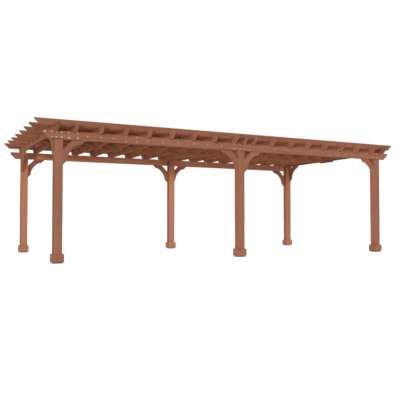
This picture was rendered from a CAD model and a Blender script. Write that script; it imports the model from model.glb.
import math
import random

import bmesh
import bpy
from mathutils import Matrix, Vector


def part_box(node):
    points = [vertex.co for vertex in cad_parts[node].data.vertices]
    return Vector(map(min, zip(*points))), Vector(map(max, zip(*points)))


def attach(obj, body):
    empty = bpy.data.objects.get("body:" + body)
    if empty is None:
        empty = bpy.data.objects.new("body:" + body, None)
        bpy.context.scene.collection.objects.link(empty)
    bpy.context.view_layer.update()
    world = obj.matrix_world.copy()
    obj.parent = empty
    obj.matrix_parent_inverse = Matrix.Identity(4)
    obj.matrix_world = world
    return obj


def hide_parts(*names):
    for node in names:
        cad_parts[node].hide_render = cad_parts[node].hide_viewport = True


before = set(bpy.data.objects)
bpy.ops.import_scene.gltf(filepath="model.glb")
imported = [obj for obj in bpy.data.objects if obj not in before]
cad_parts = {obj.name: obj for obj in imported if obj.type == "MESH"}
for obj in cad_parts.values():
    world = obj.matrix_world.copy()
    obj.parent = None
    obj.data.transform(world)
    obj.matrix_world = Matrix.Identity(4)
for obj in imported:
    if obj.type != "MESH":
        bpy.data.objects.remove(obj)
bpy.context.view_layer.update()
scene = bpy.context.scene
scene.view_settings.view_transform = "Standard"
print("frame loaded,", len(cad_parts), "nodes")

# Camera, fitted to the post edges and beam lines of the photograph
cameraSetup = {
    "place": (-5.542, -10.851, 0.737),  # low, in front of the left end
    "tiltUpDeg": 1.903,
    "turnRightDeg": 26.948,
    "focalPixels": 552.45,
    "framePixels": 400,
    "sensorMm": 36.0,
    "clipEnd": 400.0,  # past the far corners of the floor
}


def makeCamera():
    data = bpy.data.cameras.new("camera")
    data.sensor_width = cameraSetup["sensorMm"]
    data.lens = cameraSetup["focalPixels"] * cameraSetup["sensorMm"] / cameraSetup["framePixels"]
    data.clip_end = cameraSetup["clipEnd"]
    camera = bpy.data.objects.new("camera", data)
    camera.location = cameraSetup["place"]
    camera.rotation_euler = (
        math.radians(90.0 + cameraSetup["tiltUpDeg"]),
        0.0,
        -math.radians(cameraSetup["turnRightDeg"]),
    )
    scene.collection.objects.link(camera)
    scene.camera = camera


makeCamera()
print("camera placed")

# Sizes read from the frame, in metres
postLow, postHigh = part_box("post_front_right")
bayLength = (postLow.x + postHigh.x) / 2  # middle post to corner post
rowDepth = -(postLow.y + postHigh.y) / 2  # centre line to a post row
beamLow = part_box("beam_front_outer")[0]


# Small helpers for node trees
def addNode(tree, kind, **settings):
    node = tree.nodes.new(kind)
    for name, value in settings.items():
        setattr(node, name, value)
    return node


def join(tree, source, target):
    tree.links.new(source, target)


def feed(tree, value, socket):
    # a socket is joined, a plain value is set
    if isinstance(value, bpy.types.NodeSocket):
        join(tree, value, socket)
    else:
        socket.default_value = value


def addMath(tree, operation, *values, clamp=False):
    node = addNode(tree, "ShaderNodeMath", operation=operation, use_clamp=clamp)
    for value, socket in zip(values, node.inputs):
        feed(tree, value, socket)
    return node.outputs[0]


def addScaled(tree, vector, factors):
    node = addNode(tree, "ShaderNodeVectorMath", operation="MULTIPLY")
    join(tree, vector, node.inputs[0])
    node.inputs[1].default_value = factors
    return node.outputs[0]


def addRange(tree, value, fromLow, fromHigh, toLow=0.0, toHigh=1.0):
    node = addNode(tree, "ShaderNodeMapRange", interpolation_type="SMOOTHSTEP")
    join(tree, value, node.inputs["Value"])
    node.inputs["From Min"].default_value = fromLow
    node.inputs["From Max"].default_value = fromHigh
    node.inputs["To Min"].default_value = toLow
    node.inputs["To Max"].default_value = toHigh
    return node.outputs["Result"]


def addMix(tree, dataType, factor, first, second, **settings):
    node = addNode(tree, "ShaderNodeMix", data_type=dataType, **settings)
    join(tree, factor, node.inputs["Factor"])
    feed(tree, first, node.inputs["A"])
    feed(tree, second, node.inputs["B"])
    return node.outputs["Result"]


def opaque(colour):
    return (*colour, 1.0)


# Grain shared by all the boards: growth rings round a pith line, fine fibres, knots and patchy stain
grain = {
    "wander": (0.9, 6.0, 6.0),  # scales along the board, across it and through it
    "fibre": (5.0, 170.0, 170.0),
    "streak": (0.7, 26.0, 26.0),
    "patch": (0.8, 5.0, 5.0),
    "knot": (1.6, 7.0, 7.0),
    "broad": (2.0, 0.5),  # detail and roughness of the wander and the patches
    "fine": (4.0, 0.6),  # and of the fibres and the streaks
    "ringScale": 46.0,  # about one ring in 7 mm
    "ringDistortion": 0.6,
    "ringDetail": 2.0,
    "ringLine": (0.45, 0.95),  # the part of a ring that darkens
    "fibreLine": (0.35, 0.7),
    "softLine": (0.3, 0.7),  # for the streaks and the patches
    "knotRim": (0.05, 0.17),
    "knotPush": 0.02,  # how far a knot pushes the rings aside
    "ringHeight": 0.45,
    "fibreHeight": 0.55,
}


def makeGrainGroup():
    group = bpy.data.node_groups.new("sawnGrain", "ShaderNodeTree")
    face = group.interface
    face.new_socket("Board", in_out="INPUT", socket_type="NodeSocketVector")
    face.new_socket("Wander", in_out="INPUT", socket_type="NodeSocketFloat")
    for name in ("Ring", "Fibre", "Streak", "Patch", "Knot", "Height"):
        face.new_socket(name, in_out="OUTPUT", socket_type="NodeSocketFloat")
    start = addNode(group, "NodeGroupInput")
    end = addNode(group, "NodeGroupOutput")
    board = start.outputs["Board"]

    def noise(name, weight):
        detail, roughness = grain[weight]
        node = addNode(group, "ShaderNodeTexNoise")
        join(group, addScaled(group, board, grain[name]), node.inputs["Vector"])
        node.inputs["Scale"].default_value = 1.0
        node.inputs["Detail"].default_value = detail
        node.inputs["Roughness"].default_value = roughness
        return node

    knotCells = addNode(group, "ShaderNodeTexVoronoi", feature="F1")
    join(group, addScaled(group, board, grain["knot"]), knotCells.inputs["Vector"])
    knotCells.inputs["Scale"].default_value = 1.0
    knot = addRange(group, knotCells.outputs["Distance"], *grain["knotRim"], 1.0, 0.0)

    # rings wander along the board, most of all round its knots
    centred = addNode(group, "ShaderNodeVectorMath", operation="SUBTRACT")
    join(group, noise("wander", "broad").outputs["Color"], centred.inputs[0])
    centred.inputs[1].default_value = (0.5, 0.5, 0.5)  # the middle of the noise
    swing = addNode(group, "ShaderNodeVectorMath", operation="SCALE")
    join(group, centred.outputs[0], swing.inputs[0])
    reach = addMath(group, "MULTIPLY_ADD", knot, grain["knotPush"], start.outputs["Wander"])
    join(group, reach, swing.inputs["Scale"])
    moved = addNode(group, "ShaderNodeVectorMath", operation="ADD")
    join(group, board, moved.inputs[0])
    join(group, swing.outputs[0], moved.inputs[1])
    rings = addNode(
        group, "ShaderNodeTexWave", wave_type="RINGS", rings_direction="X", wave_profile="SAW"
    )
    join(group, moved.outputs[0], rings.inputs["Vector"])
    rings.inputs["Scale"].default_value = grain["ringScale"]
    rings.inputs["Distortion"].default_value = grain["ringDistortion"]
    rings.inputs["Detail"].default_value = grain["ringDetail"]

    ringLine = addRange(group, rings.outputs["Fac"], *grain["ringLine"])
    fibreLine = addRange(group, noise("fibre", "fine").outputs["Fac"], *grain["fibreLine"])
    streakLine = addRange(group, noise("streak", "fine").outputs["Fac"], *grain["softLine"])
    patchLine = addRange(group, noise("patch", "broad").outputs["Fac"], *grain["softLine"])
    fibreHeight = addMath(group, "MULTIPLY", fibreLine, grain["fibreHeight"])
    height = addMath(group, "MULTIPLY_ADD", ringLine, grain["ringHeight"], fibreHeight)

    join(group, ringLine, end.inputs["Ring"])
    join(group, fibreLine, end.inputs["Fibre"])
    join(group, streakLine, end.inputs["Streak"])
    join(group, patchLine, end.inputs["Patch"])
    join(group, knot, end.inputs["Knot"])
    join(group, height, end.inputs["Height"])
    return group


grainGroup = makeGrainGroup()
print("grain group made")

# Weathering: under the roof the boards are sheltered and keep a fuller, redder stain,
# and the posts' feet are damp
weathering = {
    "sheltered": (1.10, 1.02, 0.83),
    "endReach": 0.15,  # past the corner posts, so that the end rafters are sheltered too
    "fade": 0.12,  # from sheltered to open, to either side
    "lowest": 0.6,  # height on the posts where the shelter of the roof ends
    "damp": 0.15,
    "dampTo": 0.015,  # height on the posts to which the ground keeps them damp and dark
    "dampFade": 0.7,  # share of that height at which they begin to dry
}


def addPlace(tree):
    place = addNode(tree, "ShaderNodeTexCoord")
    parts = addNode(tree, "ShaderNodeSeparateXYZ")
    join(tree, place.outputs["Object"], parts.inputs[0])
    return parts


def addSheltered(tree, parts):
    fade = weathering["fade"]
    masks = []
    for axis, edge in (("X", bayLength + weathering["endReach"]), ("Y", rowDepth)):
        away = addMath(tree, "ABSOLUTE", parts.outputs[axis])
        masks.append(addRange(tree, away, edge - fade, edge + fade, 1.0, 0.0))
    roofed = addRange(tree, parts.outputs["Z"], weathering["lowest"], beamLow.z)
    return addMath(tree, "MULTIPLY", addMath(tree, "MULTIPLY", *masks), roofed)


def addDamp(tree, parts):
    top = weathering["dampTo"]
    bottom = weathering["dampFade"] * top
    return addRange(tree, parts.outputs["Z"], bottom, top, weathering["damp"], 1.0)


# One stain recipe for each kind of board: pale and deep tones, as they should look in plain light
frameStain = {"pale": (0.43, 0.184, 0.116), "deep": (0.276, 0.106, 0.061)}
braceStain = {"pale": (0.41, 0.172, 0.108), "deep": (0.26, 0.098, 0.056)}
rafterStain = {"pale": (0.438, 0.181, 0.110), "deep": (0.275, 0.100, 0.054)}
purlinStain = {"pale": (0.406, 0.171, 0.105), "deep": (0.26, 0.092, 0.050)}
stains = {  # with how far the rings wander and how dark the knots are
    "post": {**frameStain, "wander": 0.010, "knots": 0.28},
    "collar": {**frameStain, "wander": 0.014, "knots": 0.4},
    "beam": {**frameStain, "wander": 0.018, "knots": 0.5},
    "brace": {**braceStain, "wander": 0.018, "knots": 0.5},
    "rafter": {**rafterStain, "wander": 0.020, "knots": 0.55},
    "purlin": {**purlinStain, "wander": 0.020, "knots": 0.55},
}
stainFinish = {
    "deepShares": {"Ring": 0.30, "Fibre": 0.22, "Streak": 0.32, "Patch": 0.22},
    "cutEnds": 0.30,  # sawn ends take more of the deep tone
    "wornEdges": 0.12,  # and eased edges less
    "knotTone": (0.11, 0.036, 0.02),
    "roughness": 0.68,
    "fibreRoughness": 0.16,
    "bumpStrength": 0.45,
    "bumpDistance": 0.0012,
    "specular": 0.05,
}


def makeStain(kind):
    recipe = stains[kind]
    material = bpy.data.materials.new(kind + "Stain")
    material.use_nodes = True
    tree = material.node_tree
    surface = tree.nodes["Principled BSDF"]

    def attribute(name):
        return addNode(tree, "ShaderNodeAttribute", attribute_name=name)

    wood = addNode(tree, "ShaderNodeGroup", node_tree=grainGroup)
    join(tree, attribute("boardPlace").outputs["Vector"], wood.inputs["Board"])
    wood.inputs["Wander"].default_value = recipe["wander"]
    tone = attribute("boardTone").outputs["Fac"]
    cutEnd = attribute("endGrain").outputs["Fac"]
    worn = attribute("easedEdge").outputs["Fac"]

    # share of the deep tone: rings, fibres, streaks, patches and sawn ends together
    deep = 0.0
    for name, share in stainFinish["deepShares"].items():
        deep = addMath(tree, "MULTIPLY_ADD", wood.outputs[name], share, deep)
    deep = addMath(tree, "MULTIPLY_ADD", cutEnd, stainFinish["cutEnds"], deep)
    lost = addMath(tree, "MULTIPLY", worn, stainFinish["wornEdges"])
    deep = addMath(tree, "SUBTRACT", deep, lost, clamp=True)

    base = addMix(tree, "RGBA", deep, opaque(recipe["pale"]), opaque(recipe["deep"]))
    knot = addMath(tree, "MULTIPLY", wood.outputs["Knot"], recipe["knots"])
    knotted = addMix(tree, "RGBA", knot, base, opaque(stainFinish["knotTone"]))
    parts = addPlace(tree)
    weathered = addMix(
        tree, "RGBA", addSheltered(tree, parts), knotted, opaque(weathering["sheltered"]),
        blend_type="MULTIPLY",
    )
    toned = addNode(tree, "ShaderNodeVectorMath", operation="SCALE")
    join(tree, weathered, toned.inputs[0])
    join(tree, addMath(tree, "MULTIPLY", tone, addDamp(tree, parts)), toned.inputs["Scale"])
    join(tree, toned.outputs[0], surface.inputs["Base Color"])

    rough = addMath(
        tree, "MULTIPLY_ADD", wood.outputs["Fibre"], stainFinish["fibreRoughness"],
        stainFinish["roughness"],
    )
    join(tree, rough, surface.inputs["Roughness"])
    bump = addNode(tree, "ShaderNodeBump")
    bump.inputs["Strength"].default_value = stainFinish["bumpStrength"]
    bump.inputs["Distance"].default_value = stainFinish["bumpDistance"]
    join(tree, wood.outputs["Height"], bump.inputs["Height"])
    join(tree, bump.outputs["Normal"], surface.inputs["Normal"])
    surface.inputs["Specular IOR Level"].default_value = stainFinish["specular"]
    return material


stainOf = {kind: makeStain(kind) for kind in stains}
print("stains made")

# Boards: every CAD board gets eased edges and its own run of grain
boardFinish = {
    "mergeReach": 1e-5,
    "flatAngle": 0.005,  # in radians
    "easedEdge": 0.003,  # rounding of the arrises
    "easedSteps": 2,
    "easedProfile": 0.5,  # a round one
    "sharpDeg": 25.0,
    "flush": 0.001,  # a face further in than this is a notch or a butt joint
    "square": 0.99,  # cosine, for a face that lies square to the board
    "toneSpread": 0.055,
    "sideFacing": 0.9,  # cosine, for a face that counts as a board's front or left side
    "underTone": 0.76,  # undersides are stained a little deeper
    "underFacing": 0.9,  # cosine to straight down, for a flat face
    "underEased": 0.3,  # and for a rounding
    "endTone": 0.72,  # the end rafters and their splice plates are stained deeper too
    "endGrainFrom": 0.35,  # cosine to the grain at which end grain begins to show
    "grainRun": 40.0,  # boards are cut from up to this far along the grain
    "postPith": 0.02,  # posts hold the heart of the log
    "boardPith": 0.05,  # boards are sawn beside it
    "boardPithDeep": (0.05, 0.12),
    "seed": 11,
}
boardKinds = {  # kind of stain, overall tone, and the sides that are paler or deeper than the rest
    "post_front_left": ("post", 1.06, {"left": 0.62}),
    "post_front_middle": ("post", 1.0, {}),
    "post_front_right": ("post", 0.96, {}),
    "post_back_left": ("post", 0.88, {"front": 1.36, "left": 0.82}),
    "post_back_middle": ("post", 0.88, {"front": 1.36, "left": 0.82}),
    "post_back_right": ("post", 0.88, {"front": 1.30}),
    "collars_front": ("collar", 0.96, {}),
    "collars_back": ("collar", 0.96, {"front": 1.25}),
    "beam_front_outer": ("beam", 1.0, {}),
    "beam_front_inner": ("beam", 0.95, {}),
    "beam_back_outer": ("beam", 1.05, {"front": 1.1}),
    "beam_back_inner": ("beam", 1.05, {"front": 1.42}),
    "braces_front": ("brace", 1.0, {}),
    "braces_back": ("brace", 1.0, {"front": 1.05}),
    "braces_left_end": ("brace", 0.85, {}),
    "braces_right_end": ("brace", 0.85, {}),
    "rafter_splices": ("rafter", 1.0, {}),
}
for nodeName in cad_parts:
    for kind in ("rafter", "purlin"):
        if nodeName.startswith(kind + "_") and nodeName not in boardKinds:
            boardKinds[nodeName] = (kind, 1.0, {})

axisX, axisY, axisZ = Vector((1, 0, 0)), Vector((0, 1, 0)), Vector((0, 0, 1))
boardSides = {"front": -axisY, "left": -axisX}
dice = random.Random(boardFinish["seed"])


def islandsOf(mesh):
    seen = set()
    for first in mesh.verts:
        if first in seen:
            continue
        seen.add(first)
        island = [first]
        for vert in island:  # grows while it is walked
            for edge in vert.link_edges:
                other = edge.other_vert(vert)
                if other not in seen:
                    seen.add(other)
                    island.append(other)
        yield island


def centreOf(island):
    return sum((vert.co for vert in island), Vector()) / len(island)


def facesOf(island):
    return {face for vert in island for face in vert.link_faces}


def nearestPostX(x):
    return min((-bayLength, 0.0, bayLength), key=lambda place: abs(place - x))


def boardAxes(nodeName, kind, centre):
    # along the grain, across the board's face, through its thickness
    if kind == "post":
        return axisZ, axisX, axisY
    if kind in ("beam", "purlin"):
        return axisX, axisZ, axisY
    if kind == "rafter":
        return axisY, axisZ, axisX
    if kind == "collar":
        offX = centre.x - nearestPostX(centre.x)
        offY = abs(centre.y) - rowDepth
        return (axisY, axisZ, axisX) if abs(offX) > abs(offY) else (axisX, axisZ, axisY)
    if nodeName.endswith("_end"):
        along = Vector((0, -math.copysign(1, centre.y), 1)).normalized()
        return along, along.cross(axisX), axisX
    along = Vector((math.copysign(1, centre.x - nearestPostX(centre.x)), 0, 1)).normalized()
    return along, along.cross(axisY), axisY


def pithOffset(kind):
    run = boardFinish["grainRun"]
    if kind == "post":
        off = boardFinish["postPith"]
        return Vector((dice.uniform(-run, run), dice.uniform(-off, off), dice.uniform(-off, off)))
    off = boardFinish["boardPith"]
    side = dice.choice((-1, 1))
    return Vector((
        dice.uniform(-run, run),
        dice.uniform(-off, off),
        side * dice.uniform(*boardFinish["boardPithDeep"]),
    ))


def sawnFaces(mesh, nodeName, kind):
    # notches and butt joints, sawn after the arrises were eased, so their own edges stay sharp
    sawn = set()
    for island in islandsOf(mesh):
        along, across, deep = boardAxes(nodeName, kind, centreOf(island))
        for face in facesOf(island):
            for axis, verts in ((along, mesh.verts), (across, island), (deep, island)):
                lean = face.normal.dot(axis)
                if abs(lean) < boardFinish["square"]:
                    continue
                outward = axis * math.copysign(1, lean)
                outermost = max(vert.co.dot(outward) for vert in verts)
                if face.calc_center_median().dot(outward) < outermost - boardFinish["flush"]:
                    sawn.add(face)
    return sawn


def easeEdges(mesh, sawn):
    sharpest = math.radians(boardFinish["sharpDeg"])
    sharp = [
        edge for edge in mesh.edges
        if len(edge.link_faces) == 2 and edge.calc_face_angle() > sharpest
        and not sawn.intersection(edge.link_faces)
    ]
    eased = bmesh.ops.bevel(
        mesh, geom=sharp, offset=boardFinish["easedEdge"], segments=boardFinish["easedSteps"],
        profile=boardFinish["easedProfile"], affect="EDGES", clamp_overlap=True,
    )
    return set(eased["faces"])


def easedBoards(nodeName):
    kind, brightness, sideTones = boardKinds[nodeName]
    mesh = bmesh.new()
    mesh.from_mesh(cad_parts[nodeName].data)
    bmesh.ops.remove_doubles(mesh, verts=mesh.verts, dist=boardFinish["mergeReach"])
    bmesh.ops.dissolve_limit(
        mesh, angle_limit=boardFinish["flatAngle"], verts=mesh.verts, edges=mesh.edges
    )
    easedFaces = easeEdges(mesh, sawnFaces(mesh, nodeName, kind))
    place = mesh.verts.layers.float_vector.new("boardPlace")
    tone = mesh.faces.layers.float.new("boardTone")
    endGrain = mesh.faces.layers.float.new("endGrain")
    easedEdge = mesh.faces.layers.float.new("easedEdge")
    endFrom = boardFinish["endGrainFrom"]
    for island in islandsOf(mesh):
        centre = centreOf(island)
        along, across, deep = boardAxes(nodeName, kind, centre)
        shift = pithOffset(kind)
        shade = brightness * (1 + dice.uniform(-1, 1) * boardFinish["toneSpread"])
        if kind == "rafter" and abs(centre.x) > bayLength:
            shade *= boardFinish["endTone"]
        for vert in island:
            part = vert.co - centre
            vert[place] = Vector((part.dot(along), part.dot(across), part.dot(deep))) + shift
        for face in facesOf(island):
            face[easedEdge] = 1.0 if face in easedFaces else 0.0
            face[endGrain] = max(0.0, abs(face.normal.dot(along)) - endFrom) / (1 - endFrom)
            face[tone] = shade
            for side, sideTone in sideTones.items():
                if face.normal.dot(boardSides[side]) > boardFinish["sideFacing"]:
                    face[tone] *= sideTone
            under = boardFinish["underEased" if face in easedFaces else "underFacing"]
            if face.normal.z < -under:
                face[tone] *= boardFinish["underTone"]
    bmesh.ops.triangulate(mesh, faces=[face for face in mesh.faces if len(face.verts) > 4])
    words = nodeName.split("_")
    pieceName = words[0] + "".join(word.capitalize() for word in words[1:]) + "Wood"
    data = bpy.data.meshes.new(pieceName)
    mesh.to_mesh(data)
    mesh.free()
    data.materials.append(stainOf[kind])
    piece = bpy.data.objects.new(pieceName, data)
    scene.collection.objects.link(piece)
    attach(piece, "root")
    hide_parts(nodeName)


for nodeName in sorted(boardKinds):
    easedBoards(nodeName)
print("boards eased:", len(boardKinds))

# Bolts on the beams: galvanised hex heads on round washers, in pairs at posts, braces and board joints
boltSetup = {
    "sizes": {
        "Washer Radius": 0.0101,
        "Washer Thickness": 0.0018,
        "Head Radius": 0.0069,  # across the corners
        "Head Height": 0.0050,
    },
    "washerSides": 20,
    "washerTaper": 0.95,
    "headSides": 6,
    "headStraight": 0.75,  # share of the head's height below its crown
    "crownTaper": 0.84,
    "seed": 5,
    "upperRow": 0.115,  # above the beam's underside
    "middleRow": 0.070,
    "lowerRow": 0.032,
    "tailBolt": -0.235,  # from a corner post's centre towards the middle, upper row only
    "cornerPairs": (-0.125, -0.048, 0.035, 0.154, 0.304, 1.15, 1.35),
    "cornerSingles": (0.467, 0.70, 0.928, 1.555, 1.843, 2.141, 2.47, 2.75, 3.05),
    "middlePairs": (0.045, 0.18),  # from the middle post's centre
    "dullTone": (0.43, 0.335, 0.27),
    "brightTone": (0.57, 0.44, 0.355),
    "spangleScale": 260.0,
    "spangle": (0.1, 0.9),
    "cloudScale": 90.0,
    "cloud": (0.3, 0.7),
    "roughness": (0.34, 0.55),
    "metallic": 0.85,
}


def makeGalvanised():
    material = bpy.data.materials.new("galvanisedSteel")
    material.use_nodes = True
    tree = material.node_tree
    surface = tree.nodes["Principled BSDF"]
    place = addNode(tree, "ShaderNodeTexCoord")
    spangle = addNode(tree, "ShaderNodeTexVoronoi", feature="F1")
    join(tree, place.outputs["Object"], spangle.inputs["Vector"])
    spangle.inputs["Scale"].default_value = boltSetup["spangleScale"]
    cloud = addNode(tree, "ShaderNodeTexNoise")
    join(tree, place.outputs["Object"], cloud.inputs["Vector"])
    cloud.inputs["Scale"].default_value = boltSetup["cloudScale"]
    bright = addRange(tree, spangle.outputs["Color"], *boltSetup["spangle"])
    tint = addMix(
        tree, "RGBA", bright, opaque(boltSetup["dullTone"]), opaque(boltSetup["brightTone"])
    )
    join(tree, tint, surface.inputs["Base Color"])
    rough = addRange(tree, cloud.outputs["Fac"], *boltSetup["cloud"], *boltSetup["roughness"])
    join(tree, rough, surface.inputs["Roughness"])
    surface.inputs["Metallic"].default_value = boltSetup["metallic"]
    return material


def makeBoltTree():
    tree = bpy.data.node_groups.new("beamBolts", "GeometryNodeTree")
    face = tree.interface
    face.new_socket("Geometry", in_out="INPUT", socket_type="NodeSocketGeometry")
    for name in boltSetup["sizes"]:
        face.new_socket(name, in_out="INPUT", socket_type="NodeSocketFloat")
    face.new_socket("Facing", in_out="INPUT", socket_type="NodeSocketFloat")
    face.new_socket("Seed", in_out="INPUT", socket_type="NodeSocketInt")
    face.new_socket("Finish", in_out="INPUT", socket_type="NodeSocketMaterial")
    face.new_socket("Geometry", in_out="OUTPUT", socket_type="NodeSocketGeometry")
    start = addNode(tree, "NodeGroupInput")
    end = addNode(tree, "NodeGroupOutput")

    def lifted(geometry, height):
        place = addNode(tree, "ShaderNodeCombineXYZ")
        join(tree, height, place.inputs["Z"])
        move = addNode(tree, "GeometryNodeTransform")
        join(tree, geometry, move.inputs["Geometry"])
        join(tree, place.outputs[0], move.inputs["Translation"])
        return move.outputs["Geometry"]

    def disc(sides, bottom, top, depth):
        cone = addNode(tree, "GeometryNodeMeshCone")
        cone.inputs["Vertices"].default_value = boltSetup[sides]
        join(tree, bottom, cone.inputs["Radius Bottom"])
        join(tree, top, cone.inputs["Radius Top"])
        join(tree, depth, cone.inputs["Depth"])
        return cone.outputs["Mesh"]

    washerThick = start.outputs["Washer Thickness"]
    washerWide = start.outputs["Washer Radius"]
    washerTop = addMath(tree, "MULTIPLY", washerWide, boltSetup["washerTaper"])
    headWide = start.outputs["Head Radius"]
    headHigh = start.outputs["Head Height"]
    straightHigh = addMath(tree, "MULTIPLY", headHigh, boltSetup["headStraight"])
    crownHigh = addMath(tree, "MULTIPLY", headHigh, 1 - boltSetup["headStraight"])
    crownFoot = addMath(tree, "ADD", washerThick, straightHigh)
    crownTop = addMath(tree, "MULTIPLY", headWide, boltSetup["crownTaper"])
    washer = disc("washerSides", washerWide, washerTop, washerThick)
    head = lifted(disc("headSides", headWide, headWide, straightHigh), washerThick)
    crown = lifted(disc("headSides", headWide, crownTop, crownHigh), crownFoot)
    bolt = addNode(tree, "GeometryNodeJoinGeometry")
    for part in (washer, head, crown):
        join(tree, part, bolt.inputs["Geometry"])

    spin = addNode(tree, "FunctionNodeRandomValue", data_type="FLOAT")
    spin.inputs["Max"].default_value = math.pi / 3  # a hex head looks the same after a sixth of a turn
    join(tree, start.outputs["Seed"], spin.inputs["Seed"])
    turn = addNode(tree, "ShaderNodeCombineXYZ")
    join(tree, start.outputs["Facing"], turn.inputs["X"])
    join(tree, spin.outputs["Value"], turn.inputs["Y"])
    place = addNode(tree, "GeometryNodeInstanceOnPoints")
    join(tree, start.outputs["Geometry"], place.inputs["Points"])
    join(tree, bolt.outputs[0], place.inputs["Instance"])
    join(tree, turn.outputs[0], place.inputs["Rotation"])
    real = addNode(tree, "GeometryNodeRealizeInstances")
    join(tree, place.outputs[0], real.inputs[0])
    finish = addNode(tree, "GeometryNodeSetMaterial")
    join(tree, real.outputs[0], finish.inputs["Geometry"])
    join(tree, start.outputs["Finish"], finish.inputs["Material"])
    join(tree, finish.outputs[0], end.inputs["Geometry"])
    return tree


def boltPlaces(faceY):
    rows = {name: beamLow.z + boltSetup[name] for name in ("upperRow", "middleRow", "lowerRow")}
    places = []
    for side in (-1, 1):
        spots = [(boltSetup["tailBolt"], "upperRow")]
        for along in boltSetup["cornerPairs"]:
            spots += [(along, "upperRow"), (along, "lowerRow")]
        spots += [(along, "middleRow") for along in boltSetup["cornerSingles"]]
        for off in boltSetup["middlePairs"]:
            spots += [(bayLength - off, "upperRow"), (bayLength - off, "lowerRow")]
        places += [(side * (bayLength - along), faceY, rows[row]) for along, row in spots]
    return places


boltTree = makeBoltTree()
galvanised = makeGalvanised()


def makeBolts(pieceName, faceY, facingDeg):
    points = bpy.data.meshes.new(pieceName + "Points")
    points.from_pydata(boltPlaces(faceY), [], [])
    seedling = bpy.data.objects.new(pieceName + "Points", points)
    scene.collection.objects.link(seedling)
    modifier = seedling.modifiers.new("bolts", "NODES")
    modifier.node_group = boltTree
    values = dict(boltSetup["sizes"])
    values.update({
        "Facing": math.radians(facingDeg),
        "Seed": boltSetup["seed"],
        "Finish": galvanised,
    })
    for item in boltTree.interface.items_tree:
        if item.in_out == "INPUT" and item.name in values:
            modifier[item.identifier] = values[item.name]
    shaped = seedling.evaluated_get(bpy.context.evaluated_depsgraph_get())
    data = bpy.data.meshes.new_from_object(shaped)
    seedling.modifiers.remove(modifier)
    bpy.data.objects.remove(seedling)
    data.name = pieceName
    piece = bpy.data.objects.new(pieceName, data)
    scene.collection.objects.link(piece)
    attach(piece, "root")


makeBolts("beamFrontBolts", beamLow.y, 90.0)
makeBolts("beamBackBolts", -beamLow.y, -90.0)
print("bolts made")

# Light and floor: a white sweep that glows, low soft lamps round the object and soft ones from above
studio = {
    "lamps": {  # turn from straight in front (left is negative), height, spread, strength
        "keyLeft": (-65.0, 3.0, 6.0, 1.10),
        "keyFront": (-35.0, 4.5, 6.0, 0.95),
        "fillFront": (10.0, 3.0, 6.0, 0.72),
        "fillRight": (100.0, 3.0, 6.0, 1.3),
        "fillBack": (180.0, 3.0, 6.0, 1.3),
        "highLeft": (-140.0, 30.0, 20.0, 0.45),
        "overhead": (0.0, 90.0, 14.0, 2.8),
    },
    "skyStrength": 0.03,
    "floorReach": 150.0,
    "floorGlow": (0.98, 0.45),  # what the sweep sends up, in the pool of light and outside it
    "poolCentre": (0.8, 0.2, 0.0),
    "poolReach": (0.5, 6.0),
    "floorWhite": 0.82,  # what the camera sees of the sweep, before its own shading
    "floorShade": 0.30,  # share of the sweep's shading that shows the object's shadow
    "contactReach": 0.06,  # how far from the feet the sweep is dimmed
    "contactSamples": 8,
}


def whiteToCamera(tree):
    # 1 for what the camera sees directly, in a mirror or through glass
    path = addNode(tree, "ShaderNodeLightPath")
    seen = addMath(tree, "MAXIMUM", path.outputs["Is Camera Ray"], path.outputs["Is Glossy Ray"])
    return addMath(tree, "MAXIMUM", seen, path.outputs["Is Transmission Ray"])


def makeSky():
    world = bpy.data.worlds.new("sky")
    scene.world = world
    world.use_nodes = True
    tree = world.node_tree
    background = tree.nodes["Background"]
    background.inputs["Color"].default_value = (1, 1, 1, 1)
    strength = addMix(tree, "FLOAT", whiteToCamera(tree), studio["skyStrength"], 1.0)
    join(tree, strength, background.inputs["Strength"])


def makeLamp(name):
    turn, height, spread, strength = studio["lamps"][name]
    data = bpy.data.lights.new(name, "SUN")
    data.energy = strength
    data.angle = math.radians(spread)
    lamp = bpy.data.objects.new(name, data)
    lamp.rotation_euler = (math.radians(90.0 - height), 0.0, math.radians(turn))
    scene.collection.objects.link(lamp)


def makeSweep():
    material = bpy.data.materials.new("whiteSweep")
    material.use_nodes = True
    tree = material.node_tree
    tree.nodes.remove(tree.nodes["Principled BSDF"])
    seen = whiteToCamera(tree)
    matte = addNode(tree, "ShaderNodeBsdfDiffuse")
    join(tree, addMath(tree, "MULTIPLY", seen, studio["floorShade"]), matte.inputs["Color"])
    place = addNode(tree, "ShaderNodeTexCoord")
    away = addNode(tree, "ShaderNodeVectorMath", operation="DISTANCE")
    join(tree, place.outputs["Object"], away.inputs[0])
    away.inputs[1].default_value = studio["poolCentre"]
    upward = addRange(tree, away.outputs["Value"], *studio["poolReach"], *studio["floorGlow"])
    strength = addMix(tree, "FLOAT", seen, upward, studio["floorWhite"])
    contact = addNode(tree, "ShaderNodeAmbientOcclusion", samples=studio["contactSamples"])
    contact.inputs["Distance"].default_value = studio["contactReach"]
    glow = addNode(tree, "ShaderNodeEmission")
    dimmed = addMath(tree, "MULTIPLY", strength, contact.outputs["AO"])
    join(tree, dimmed, glow.inputs["Strength"])
    both = addNode(tree, "ShaderNodeAddShader")
    join(tree, matte.outputs[0], both.inputs[0])
    join(tree, glow.outputs[0], both.inputs[1])
    join(tree, both.outputs[0], tree.nodes["Material Output"].inputs["Surface"])
    return material


def makeFloor():
    reach = studio["floorReach"]
    data = bpy.data.meshes.new("floor")
    corners = [(-reach, -reach, 0), (reach, -reach, 0), (reach, reach, 0), (-reach, reach, 0)]
    data.from_pydata(corners, [], [(0, 1, 2, 3)])
    data.materials.append(makeSweep())
    floor = bpy.data.objects.new("floor", data)
    scene.collection.objects.link(floor)


makeSky()
for lampName in studio["lamps"]:
    makeLamp(lampName)
makeFloor()
print("light and floor made")

print("sizes written")
